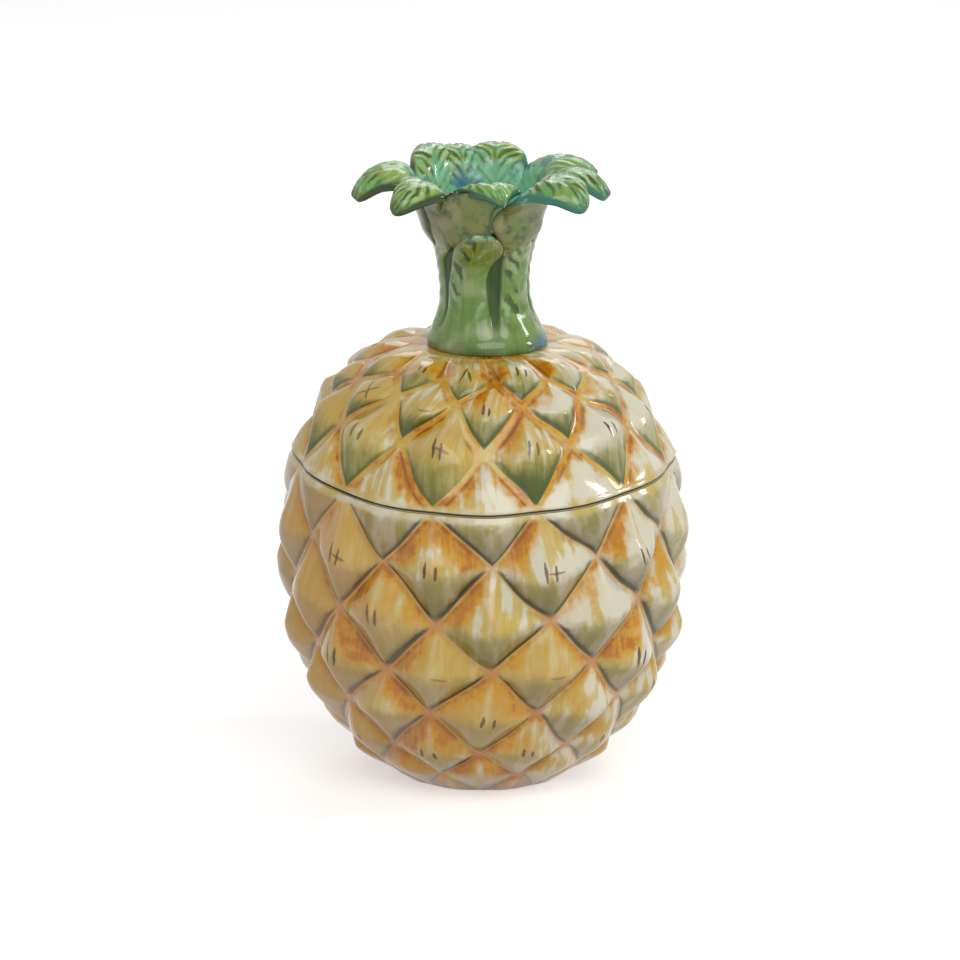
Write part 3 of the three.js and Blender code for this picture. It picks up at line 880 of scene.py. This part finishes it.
class Palette:
    """Adds nodes to one node tree, so that a finish reads as a list of steps."""

    def __init__(self, tree):
        self.tree = tree

    def feed(self, socket, value):
        """Links a value to a socket, or writes a number, a vector or a colour on it."""
        if isinstance(value, Value):
            self.tree.links.new(value.socket, socket)
        elif isinstance(value, (int, float)):
            socket.default_value = value
        else:
            value = tuple(value)
            socket.default_value = value + (1.0,) if len(value) < len(socket.default_value) else value

    def node(self, kind, inputs, **settings):
        """A new shader node with its settings, and with values on its sockets, by their names or numbers."""
        node = self.tree.nodes.new("ShaderNode" + kind)
        for name, value in settings.items():
            setattr(node, name, value)
        for socket, value in inputs.items():
            self.feed(node.inputs[socket], value)
        return node

    def result(self, kind, inputs, output=0, **settings):
        """An output of a new shader node."""
        return Value(self, self.node(kind, inputs, **settings).outputs[output])

    def math(self, operation, *values):
        """The result of a Math node."""
        return self.result("Math", dict(enumerate(values)), operation=operation)

    def blend(self, share, first, second):
        """Two colours mixed by a share."""
        return self.result("Mix", {0: share, 6: first, 7: second}, output=2, data_type="RGBA")

    def vector(self, name):
        """One of the piece's attributes as a vector."""
        return self.result("Attribute", {}, output="Vector", attribute_name=name)

    def parts(self, name):
        """The three numbers of one of the piece's attributes."""
        return [Value(self, output) for output in self.node("SeparateXYZ", {0: self.vector(name)}).outputs]

    def object_place(self):
        """Object coordinates."""
        return self.result("TexCoord", {}, output="Object")

    def noise(self, vector, scale, detail=2.0, roughness=0.5):
        """Smooth noise from 0 to 1."""
        inputs = {"Vector": vector, "Scale": scale, "Detail": detail, "Roughness": roughness}
        return self.result("TexNoise", inputs)

    def use(self, name, **values):
        """The results of one of the shared node groups, which is made once."""
        tree = bpy.data.node_groups.get(name) or GROUPS[name]()
        inputs = {key.replace("_", " ").capitalize(): value for key, value in values.items()}
        return [Value(self, output) for output in self.node("Group", inputs, node_tree=tree).outputs]


def new_group(name, inputs, outputs):
    """An empty node group with named sockets: its palette, its input values and a function that ends it.
    Each input has a default, or else it is a vector, and each output is a number."""
    tree = bpy.data.node_groups.new(name, "ShaderNodeTree")
    for socket, default in inputs.items():
        kind = "NodeSocketVector" if default is None else "NodeSocketFloat"
        made = tree.interface.new_socket(name=socket, in_out="INPUT", socket_type=kind)
        if default is not None:
            made.default_value = default
    for socket in outputs:
        tree.interface.new_socket(name=socket, in_out="OUTPUT", socket_type="NodeSocketFloat")
    entry = tree.nodes.new("NodeGroupInput")
    leave = tree.nodes.new("NodeGroupOutput")
    palette = Palette(tree)

    def end(*results):
        for socket, value in zip(leave.inputs, results):
            palette.feed(socket, value)
        return tree

    return palette, [Value(palette, entry.outputs[socket]) for socket in inputs], end


def streaks_group():
    """Brush streaks that run along the third part of a vector: a fine set and a broad set."""
    p, (way, stretch), end = new_group("Brush streaks", {"Way": None, "Stretch": 1.0}, ("Fine", "Broad"))
    way = p.result("VectorMath", {0: way, "Scale": stretch}, operation="SCALE")
    fine = p.result("VectorMath", {0: way, 1: (60, 60, 1.7)}, operation="MULTIPLY")
    broad = p.result("VectorMath", {0: way, 1: (17, 17, 1.1)}, operation="MULTIPLY")
    return end(p.noise(fine, 1.0, 3.0, 0.6).step(0.36, 0.66), p.noise(broad, 1.0).step(0.36, 0.64))


def glaze_group():
    """The glaze's own surface: a little wear that dulls it, and the height of long soft waves and
    pinholes."""
    p, (base_roughness,), end = new_group("Glaze", {"Base roughness": GLOSS}, ("Roughness", "Height"))
    at = p.object_place()
    dull = p.noise(at, 40, 4.0).step(0.5, 0.75, 0.0, 0.10)
    return end(base_roughness + dull, p.noise(at, 90) + 0.12 * p.noise(at, 650))


def strokes_group():
    """Slanting brush strokes on both sides of a midrib, as on a leaf: stripes of along + slant |across|,
    the gaps between them, and the midrib."""
    inputs = {"Across": 0.0, "Along": 0.0, "Slant": 1.0, "Count": 10.0}
    p, (across, along, slant, count), end = new_group("Slanting strokes", inputs, ("Strokes", "Gaps", "Rib"))
    at = p.object_place()
    side = abs(across)
    stray = 1.5 * (p.noise(at, 110, 3.0, 0.6) - 0.5)
    wave = p.math("SINE", 2 * math.pi * (along * count + side * slant + stray))
    band = side.step(0.02, 0.15) * side.step(0.98, 0.7)
    strokes = wave.step(-0.1, 0.85) * band * p.noise(at, 60, 1.0).step(0.36, 0.52)
    return end(strokes, wave.step(0.0, -0.8) * band, side.step(0.09, 0.02))


GROUPS = {"Brush streaks": streaks_group, "Glaze": glaze_group, "Slanting strokes": strokes_group}


def first_node(tree, kind):
    """The node of a kind that a new tree comes with."""
    return next(node for node in tree.nodes if node.type == kind)


def new_material(name):
    """A material with its palette and its Principled shader."""
    material = bpy.data.materials.new(name)
    material.use_nodes = True
    return material, Palette(material.node_tree), first_node(material.node_tree, "BSDF_PRINCIPLED")


def coat(p, shader, colour, roughness, bumps, strength, depth):
    """Gives a shader its colour, its roughness and its small bumps."""
    p.feed(shader.inputs["Base Color"], colour)
    p.feed(shader.inputs["Roughness"], roughness)
    lumps = p.result("Bump", {"Strength": strength, "Distance": depth, "Height": bumps})
    p.feed(shader.inputs["Normal"], lumps)


def glazed(p, shader, colour, roughness=GLOSS, bumps=0.10):
    """Gives a shader its colour under the glaze."""
    roughness, height = p.use("Glaze", base_roughness=roughness)
    coat(p, shader, colour, roughness, height, bumps, GLAZE_DEPTH)
    p.feed(shader.inputs["IOR"], GLAZE_IOR)


def stroke_mask(x, y, slant, half):
    """One small brush stroke round (0, 0): a slanted line whose width tapers to its two ends."""
    share = y / half
    width = 0.8 * (1.0 - share * share).at_least(0.0).root()
    return (width - abs(x - slant * y)).step(-0.05, 0.35)


def scale_glaze(p, shader, c, at):
    """The painted skin: a streaked ground from milky to straw, paler at the right as painted light, ochre
    washes along the upper edges of each scale, a grey-green lower half with dark brush lines along its
    edges, ochre and rose valleys, a painted pink reflection low on the pot and at its left, a pale rim
    with painted shade in the seam gap, and the painted marks."""
    x, y, edge = p.parts("scale_at")
    across, down, row = p.parts("scale_row")
    ochre_left, ochre_right, ground = p.parts("scale_upper")
    tone, line_left, line_right = p.parts("scale_lower")
    _, way_right, _ = p.parts("brush_way")
    fine, broad = p.use("Brush streaks", way=p.vector("brush_way"), stretch=1.0)
    patch = p.noise(at, 75, 3.0, 0.55) - 0.5
    small = p.noise(at, 260, 3.0, 0.6) - 0.5
    on_lid = row.step(3.15, 2.9)
    to_right = x.step(-1.0, 1.0)
    upper = down.step(0.08, -0.08)

    # Painted light: the ground turns paler and milkier towards the right of the box, where the light falls,
    # and more yellow towards its left.
    yellow = ground + 0.8 * (broad - 0.5) + 1.7 * patch + way_right.step(-1.0, 1.2, 0.34, -0.32)
    body = p.blend(yellow.step(-0.05, 0.4), c.milk, c.cream)
    body = body.under(c.straw, yellow.step(0.3, 0.9) * (0.55 + 0.45 * fine))
    body = body.under(c.milk, 0.24 * fine)

    ochre = ochre_left + to_right * (ochre_right - ochre_left)
    width = 1.0 + ochre * (10.0 - 4.0 * on_lid) + 22.0 * patch + 5.0 * small + 3.0 * broad
    wash = edge.step(width, width - 10.0) * abs(across).step(1.05, 0.7) * upper
    wash = wash * ochre.step(0.0, 0.35) * (0.75 + 0.25 * fine)
    body = body.under(c.ochre, (1.4 * wash).at_most(0.9))
    deep = (wash + 1.6 * patch + 0.8 * small).step(0.6, 1.15)
    body = body.under(c.orange, 0.9 * deep * ochre.step(0.2, 0.9) * upper)
    outline = abs(edge + 1.5 * small).step(1.5, 0.2) * upper * (0.3 + 0.3 * on_lid + 0.6 * ochre)
    outline = outline * (patch + 0.4 * small).step(-0.14, 0.1)
    body = body.under(p.blend((patch + small).step(-0.3, 0.3), c.orange, c.rust), outline)

    below = down + 0.6 * patch + 0.25 * small - 0.05 * on_lid
    lower = below.step(-0.08, 0.24 + 0.16 * on_lid) * edge.step(-0.6, 0.1)
    shade = p.blend(0.75 * (broad + 1.5 * patch).step(0.1, 1.1), c.taupe, c.sage)
    shade = shade.under(p.blend(0.45 * fine, c.sage, c.cream), on_lid)
    body = body.under(shade, lower * (0.4 * tone.step(0.0, 0.3) + 0.5 * tone))
    tip = (down + 0.9 * patch + 0.3 * (broad - 0.5)).step(0.1, 0.9)
    tip = tip * lower * tone.step(0.1, 0.9) * (0.6 + 0.3 * on_lid)
    body = body.under(p.blend(on_lid, c.olive, c.moss), tip)
    line = line_left + to_right * (line_right - line_left)
    width = 2.6 * line + 4.0 * patch
    drawn = 0.6 * edge.step(width + 1.0, 0.3 * width) * lower * line.step(0.05, 0.35)
    ink = p.blend(on_lid, c.shade, c.moss)
    body = body.under(ink.under(c.olive, (patch + small).step(0.0, 0.2, 0.0, 0.5)), drawn)
    crisp = (0.8 * line + 2.5 * patch + 0.8 * small - edge).step(-0.9, -0.3) * edge.step(-0.8, -0.3)
    crisp = crisp * down.step(0.0, 0.1) * line.step(0.1, 0.5) * (0.8 - 0.25 * on_lid)
    body = body.under(ink, crisp)
    # Pale along the upright ridge of each upper half: glaze thinning over the ridge, and a painted highlight.
    body = body.under(c.milk, 0.25 * abs(x).step(1.8, 0.2) * edge.step(1.0, 4.0) * upper)

    bed = p.blend((patch + 0.6 * small + 0.03 * on_lid).step(-0.15, 0.08), c.cream, c.ochre)
    bed = bed.under(c.orange, (patch - 0.8 * small).step(0.0, 0.2))
    bed = bed.under(c.rose, 0.6 * row.step(3.5, 6.0))
    valley = 0.3 + 0.25 * on_lid + 0.45 * down.step(-0.08, 0.08)
    body = body.under(bed, edge.step(0.1, -0.6) * valley)
    crossing = abs(across).at_least(abs(down)).step(0.78, 0.95) * edge.step(3.0, 0.4) * row.step(3.6, 5.0)
    body = body.under(c.rose, 0.75 * crossing)
    crown = row.step(0.5, -0.3) * (edge + 6.0 * small).step(1.5, -1.0)
    crown = crown * (small + 0.5 * (broad - 0.5)).step(-0.25, 0.15)
    body = body.under(p.blend(patch.step(-0.1, 0.15), c.ochre, c.orange), 0.65 * crown)
    # Painted reflection: a pink tint low on the pot and at its left side, from light bounced back onto it.
    rose_reflection = row.step(5.5, 10.0, 0.0, 0.2) + way_right.step(-0.2, -1.0, 0.0, 0.3) * (1.0 - on_lid)
    body = body.under(c.rose, rose_reflection)

    from_seam = 25.0 * abs(row - SEAM_ROW)
    rim = (from_seam + 3.0 * small).step(4.8 - on_lid, 2.0)
    body = body.under(p.blend(patch.step(-0.1, 0.1), c.milk, c.cream), 0.85 * rim)
    # Painted shade: the rounded rims inside the seam gap turn dark, as the gap between the lid and the pot
    # lies in shade.
    body = body.under(c.shade, from_seam.step(0.65, 0.3, 0.0, 0.95))

    side, height, half = p.parts("mark_at")
    apart, first, second = p.parts("mark_shape")
    cross, olive, strength = p.parts("mark_kind")
    mark_x = x + 0.8 * (p.noise(at, 420, 1.0) - 0.5) - side
    mark_y = y - height
    left = stroke_mask(mark_x + 0.5 * apart, mark_y, first, half)
    right = stroke_mask(mark_x - 0.5 * apart, mark_y - 0.8, second, 0.8 * half)
    flat = stroke_mask(mark_y - 0.6, mark_x - 0.5 * apart - 0.3, 0.12, 3.6)
    body = body.under(c.rust, 0.7 * flat * cross)
    strokes = left.at_least(right) * strength * (0.9 + 0.5 * small)
    body = body.under(p.blend(olive, c.stroke, c.moss), strokes.at_most(0.95))
    glazed(p, shader, body)


def liner_glaze(p, shader, c, at):
    """Plain pale glaze inside the box, with faint brown patches and specks."""
    body = p.blend(p.noise(at, 35, 3.0).step(0.4, 0.7, 0.0, 0.5), c.liner, c.cream)
    body = body.under(c.rust, 0.35 * p.noise(at, 900, 1.0).step(0.70, 0.76))
    glazed(p, shader, body, 0.16, 0.12)


def bare_clay(p, shader, c, at):
    """Unglazed clay of the foot, which is matt and sandy."""
    sand = p.noise(at, 1200, 3.0, 0.7)
    body = p.blend(sand.step(0.4, 0.7, 0.0, 0.6), c.clay, c.cream)
    body = body.under(c.rust, p.noise(at, 60, 4.0).step(0.55, 0.7, 0.0, 0.35))
    coat(p, shader, body, 0.85, sand, 0.5, 0.0003)


def leaf_glaze(p, shader, c, at):
    """Leaves: a green ground with lime patches, pale gaps painted as highlights and slanting dark veins,
    aqua and blue in the heart of the crown, painted shade along the edges, dark green at the left and
    teal at the right, and an olive underside that darkens towards its edges as painted shade."""
    across, along, over = p.parts("blade_at")
    _, way_right, _ = p.parts("brush_way")
    side = abs(across)
    patch = p.noise(at, 110, 3.0, 0.55)
    small = p.noise(at, 300, 3.0, 0.6) - 0.5
    strokes, gaps, rib = p.use("Slanting strokes", across=across, along=along, slant=-BARB_SLANT, count=BARBS)

    top = p.blend(patch.step(0.4, 0.62), c.leaf, c.lime)
    top = top.under(c.teal, way_right.step(0.0, 1.0, 0.0, 0.22))
    # Painted highlight: pale mint streaks in the gaps between the veins.
    top = top.under(c.mint, 0.75 * gaps * p.noise(at, 150).step(0.42, 0.6))
    heart = (along + 0.7 * (patch - 0.5)).step(0.72, 0.48)
    top = top.under(p.blend(p.noise(at, 130).step(0.52, 0.64), c.aqua, c.blue), 0.8 * heart)
    ink = 1.0 - 0.75 * heart
    top = top.under(c.vein, 0.9 * strokes * ink)
    top = top.under(c.vein, 0.45 * rib * ink)
    # Painted shade along the free edges of the leaf: dark green at the left of the crown and teal at its
    # right.
    free = along.step(0.5, 0.64)
    rim = (side + 0.35 * small).step(0.78, 1.0) * free
    tip = (along + 0.12 * small).step(0.92, 1.0)
    edge_shade = p.blend(way_right.step(-0.5, 0.4), c.stem_shade, c.teal)
    top = top.under(edge_shade, 0.8 * rim.at_least(tip))

    body = p.blend(patch.step(0.4, 0.66, 0.0, 0.7), c.underside, c.stem)
    body = body.under(c.milk, p.noise(at, 80, 1.0).step(0.46, 0.7, 0.0, 0.15))
    body = body.under(c.vein, p.noise(at, 140, 4.0, 0.6).step(0.46, 0.66, 0.0, 0.75))
    # Painted shade: the underside darkens towards its edges.
    body = body.under(c.stem_shade, 0.6 * side.step(0.8, 1.0))
    body = body.under(top, over.step(-0.12, 0.12))
    # Painted shade on the thin edge between the two faces of the leaf.
    band = abs(over + 0.2).step(0.95, 0.7) * side.step(0.6, 0.85) * free
    glazed(p, shader, body.under(edge_shade, 0.9 * band))


def stem_ground(p, c, at):
    """The stem's streaked green with milky patches, partly painted highlights, darker at the foot as painted
    shade, and olive and paler at the top. With it come the places in the grooves, the share of the height,
    and the broad streaks."""
    groove, height, _ = p.parts("stem_at")
    fine, broad = p.use("Brush streaks", way=p.vector("brush_way"), stretch=0.35)
    patch = p.noise(at, 120, 3.0) - 0.5
    body = p.blend((height + 0.5 * patch).step(0.5, 1.0), c.stem, c.underside)
    body = body.under(c.lime, 0.35 * fine)
    # Milky patches of glaze, partly a painted highlight.
    body = body.under(c.milk, p.noise(at, 70, 1.0).step(0.45, 0.8, 0.0, 0.45))
    # Painted shade: the stem darkens towards its foot, where it meets the lid.
    return body.under(c.stem_shade, 0.55 * (height + 0.25 * patch).step(0.12, -0.02)), groove, height, broad


def stem_glaze(p, shader, c, at):
    """Stem of the crown: its green ground, a blue accent at the right of the foot, and dull hollows between
    the sheaths, painted dark as shade."""
    body, groove, height, broad = stem_ground(p, c, at)
    _, way_right, _ = p.parts("brush_way")
    accent = 0.7 * height.step(0.12, 0.03) * way_right.step(0.72, 0.9) * broad.step(0.2, 0.6)
    body = body.under(c.blue, accent)
    # Painted shade: the grooves between the sheath leaves are painted dark green.
    body = body.under(c.hollow, groove * (0.85 + 0.15 * broad))
    glazed(p, shader, body, GLOSS + 0.45 * groove)


def sheath_glaze(p, shader, c, at):
    """Sheath leaves: the stem's ground with dark strokes, mostly on the left half, faint pale gaps between
    them painted as highlights, painted shade along the rim, and a tip of mint and teal with a painted
    highlight."""
    body, _, height, _ = stem_ground(p, c, at)
    across, along, _ = p.parts("blade_at")
    small = p.noise(at, 300, 3.0, 0.6) - 0.5
    strokes, gaps, _ = p.use("Slanting strokes", across=across, along=along, slant=-1.3, count=6.5)
    above = height.step(0.12, 0.25)
    body = body.under(c.vein, strokes * above * across.step(0.3, -0.1, 0.15, 0.85))
    # Painted highlight: faint pale mint streaks in the gaps between the strokes.
    body = body.under(c.mint, gaps * above * p.noise(at, 90).step(0.45, 0.65, 0.0, 0.4))
    # Painted shade along the edges of the sheath leaf, where it lies on the stem.
    body = body.under(c.stem_shade, 0.8 * (abs(across) + 0.12 * small).step(0.84, 1.0) * above)
    # The tip in mint and teal, the pale mint a painted highlight on the curled tip.
    tip = (along + 0.12 * small).step(0.88, 0.97)
    glazed(p, shader, body.under(p.blend(small.step(-0.1, 0.1), c.mint, c.teal), 0.8 * tip))


FINISHES = {
    "Painted scales": scale_glaze, "Liner glaze": liner_glaze, "Bare clay": bare_clay,
    "Painted leaves": leaf_glaze, "Painted stem": stem_glaze, "Painted sheaths": sheath_glaze,
}


def finish(name):
    """The finish of that name, made once."""
    found = bpy.data.materials.get(name)
    if found:
        return found
    material, p, shader = new_material(name)
    FINISHES[name](p, shader, colours(), p.object_place())
    return material


# Stage


def link(name, data):
    """A new object in the open scene."""
    made = bpy.data.objects.new(name, data)
    bpy.context.scene.collection.objects.link(made)
    return made


def aim(way):
    """Turns of an object whose -Z axis points along a way, with its X axis level."""
    flat = math.hypot(way[0], way[1])
    return (math.atan2(flat, -way[2]), 0.0, math.atan2(-way[0], way[1]))


def area_light(name, location, width, height, power):
    """A soft rectangular lamp that faces the middle of the box."""
    lamp = bpy.data.lights.new(name, "AREA")
    lamp.shape = "RECTANGLE"
    lamp.size, lamp.size_y = width, height
    lamp.energy = power
    light = link(name, lamp)
    light.location = location
    light.rotation_euler = aim(np.array(LIT_POINT) - np.array(location))


def in_sight(p):
    """1 for a ray from the camera, also one that was mirrored or let through, and 0 for any other."""
    rays = p.node("LightPath", {}).outputs
    camera = Value(p, rays["Is Camera Ray"])
    return camera.at_least(Value(p, rays["Is Transmission Ray"])).at_least(Value(p, rays["Is Glossy Ray"]))


def make_floor():
    """A pale floor that takes the box's soft shadow and is white to the camera."""
    material, p, shader = new_material("Studio floor")
    p.feed(shader.inputs["Base Color"], (0.82, 0.82, 0.82))
    p.feed(shader.inputs["Roughness"], 0.9)
    p.feed(shader.inputs["Specular IOR Level"], 0.0)
    glow = p.result("Emission", {"Color": (1.0, 1.0, 1.0), "Strength": FLOOR_GLOW * in_sight(p)})
    both = p.result("AddShader", {0: Value(p, shader.outputs[0]), 1: glow})
    p.feed(first_node(material.node_tree, "OUTPUT_MATERIAL").inputs["Surface"], both)
    mesh = bpy.data.meshes.new("studio_floor")
    corners = [(x * FLOOR_REACH, y * FLOOR_REACH, 0) for x, y in ((-1, -1), (1, -1), (1, 1), (-1, 1))]
    mesh.from_pydata(corners, [], [(0, 1, 2, 3)])
    mesh.materials.append(material)
    floor = link("studio_floor", mesh)
    floor.location = (0, 0, -FLOOR_DROP)


def make_world():
    """Even surroundings, white to the camera and in reflections, and softer on the object."""
    world = bpy.context.scene.world or bpy.data.worlds.new("Studio")
    bpy.context.scene.world = world
    world.use_nodes = True
    p = Palette(world.node_tree)
    background = first_node(world.node_tree, "BACKGROUND")
    p.feed(background.inputs["Color"], (1.0, 1.0, 1.0))
    p.feed(background.inputs["Strength"], WORLD_LIGHT + (1.0 - WORLD_LIGHT) * in_sight(p))


def make_camera():
    """The photograph's camera: far away, and looking down a little."""
    data = bpy.data.cameras.new("Photograph")
    data.lens = CAMERA_LENS
    data.sensor_width = 36.0
    data.clip_start, data.clip_end = 0.1, 100.0
    camera = link("Photograph", data)
    up = math.radians(CAMERA_ELEVATION)
    back = np.array([0.0, -math.cos(up), math.sin(up)])
    camera.location = np.array(CAMERA_TARGET) + back * CAMERA_DISTANCE
    camera.rotation_euler = aim(-back)
    bpy.context.scene.camera = camera


# Operators


class MakePot(bpy.types.Operator):
    """Build the scaled pot"""

    bl_idname = "pineapple.make_pot"
    bl_label = "Pot"

    def execute(self, context):
        make_pot()
        return {"FINISHED"}


class MakeLid(bpy.types.Operator):
    """Build the scaled lid and the ring under it"""

    bl_idname = "pineapple.make_lid"
    bl_label = "Lid"

    def execute(self, context):
        make_lid()
        make_locating_ring()
        return {"FINISHED"}


class MakeStem(bpy.types.Operator):
    """Build the stem of the crown and the short sheath leaves that lie on it"""

    bl_idname = "pineapple.make_stem"
    bl_label = "Crown stem"

    def execute(self, context):
        make_trunk()
        for name, shape in SHEATHS.items():
            make_sheath(name, *shape)
        return {"FINISHED"}


class MakeLeaves(bpy.types.Operator):
    """Build the nine long leaves of the crown"""

    bl_idname = "pineapple.make_leaves"
    bl_label = "Crown leaves"

    def execute(self, context):
        for name, shape in LEAVES.items():
            make_leaf(name, *shape)
        return {"FINISHED"}


class MakeStage(bpy.types.Operator):
    """Build the floor, the soft lamps and the photograph's camera"""

    bl_idname = "pineapple.make_stage"
    bl_label = "Studio"

    def execute(self, context):
        make_floor()
        make_world()
        make_camera()
        for name, lamp in LAMPS.items():
            area_light(name, *lamp)
        return {"FINISHED"}


class PineapplePanel(bpy.types.Panel):
    """The pieces of the box, and its sizes and colours"""

    bl_idname = "VIEW3D_PT_pineapple_box"
    bl_label = "Pineapple box"
    bl_space_type = "VIEW_3D"
    bl_region_type = "UI"
    bl_category = "Pineapple box"

    def draw(self, context):
        for step in STEPS:
            self.layout.operator(step.bl_idname)
        for group in (context.scene.pineapple_sizes, context.scene.pineapple_colours):
            for name in group.__annotations__:
                self.layout.prop(group, name)


STEPS = (MakePot, MakeLid, MakeStem, MakeLeaves, MakeStage)
CLASSES = (PineappleSizes, PineappleColours, *STEPS, PineapplePanel)


def register():
    for each in CLASSES:
        bpy.utils.register_class(each)
    bpy.types.Scene.pineapple_sizes = bpy.props.PointerProperty(type=PineappleSizes)
    bpy.types.Scene.pineapple_colours = bpy.props.PointerProperty(type=PineappleColours)


def unregister():
    del bpy.types.Scene.pineapple_sizes
    del bpy.types.Scene.pineapple_colours
    for each in reversed(CLASSES):
        bpy.utils.unregister_class(each)


def main():
    register()
    bpy.context.scene.view_settings.view_transform = "Standard"
    bpy.ops.pineapple.make_pot()
    bpy.ops.pineapple.make_lid()
    bpy.ops.pineapple.make_stem()
    bpy.ops.pineapple.make_leaves()
    bpy.ops.pineapple.make_stage()


if __name__ == "__main__":
    main()
